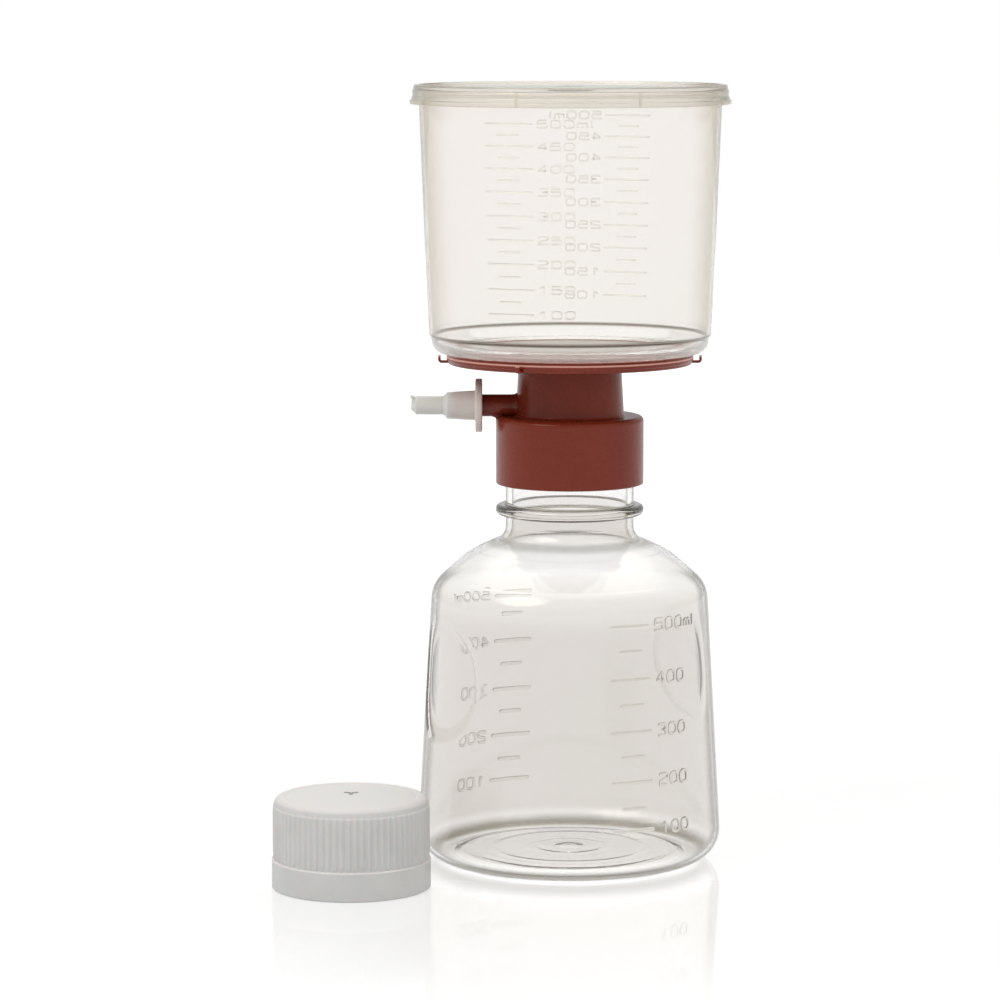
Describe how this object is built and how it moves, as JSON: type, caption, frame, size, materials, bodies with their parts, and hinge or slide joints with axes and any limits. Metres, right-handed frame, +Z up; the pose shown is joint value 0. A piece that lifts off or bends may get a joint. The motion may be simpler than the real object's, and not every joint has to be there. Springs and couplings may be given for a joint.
{
  "type": "vacuum filtration unit",
  "caption": "Bottle-top vacuum filter: clear upper chamber with a loose lid, screwed by its coloured base onto a clear receiver bottle, with a hose adapter and the bottle's cap.",
  "frame": {"origin": "middle of the receiver bottle's foot ring, on the bench", "axes": "+Z up along the common axis of bottle, base and chamber; the side arm points to -X; the loose cap stands towards -X and -Y"},
  "size_m": [0.1463, 0.1237, 0.2515],
  "materials": {
    "receiver_bottle": "clear blown plastic, smooth",
    "filter_base": "red-brown translucent moulding, smooth",
    "support_plate": "pale moulded plastic",
    "filter_membrane": "white filter membrane, matt",
    "upper_chamber": "clear moulded plastic, smooth",
    "chamber_lid": "clear moulded plastic, smooth",
    "hose_adapter": "milky translucent plastic",
    "cotton_plug": "loose white cotton",
    "neck_seal": "soft white sealing ring",
    "receiver_cap": "white moulded plastic, satin"
  },
  "bodies": {
    "receiver": {"receiver_bottle": "receiver_bottle"},
    "seal": {"neck_seal": "neck_seal"},
    "head": {"filter_base": "filter_base", "support_plate": "support_plate", "filter_membrane": "filter_membrane", "upper_chamber": "upper_chamber", "cotton_plug": "cotton_plug"},
    "lid": {"chamber_lid": "chamber_lid"},
    "adapter": {"hose_adapter": "hose_adapter"},
    "cap": {"receiver_cap": "receiver_cap"}
  },
  "joints": [
    {"name": "neck_rise", "type": "slide", "parent": "receiver", "child": "seal", "axis": [0, 0, 1], "range_m": [0, 0.0105]},
    {"name": "head_turn", "type": "hinge", "parent": "seal", "child": "head", "pos_m": [0, 0, 0.1431], "axis": [0, 0, 1], "range_deg": [0, 900]},
    {"name": "lid_lift", "type": "slide", "parent": "head", "child": "lid", "axis": [0, 0, 1], "range_m": [0, 0.03]},
    {"name": "adapter_pull", "type": "slide", "parent": "head", "child": "adapter", "axis": [-1, 0, 0], "range_m": [0, 0.02]},
    {"name": "cap_lift", "type": "slide", "parent": "receiver", "child": "cap", "axis": [0, 0, 1], "range_m": [0, 0.05]}
  ],
  "couplings": [
    {"joint": "neck_rise", "follows": "head_turn", "m_per_rad": 0.00066845}
  ]
}
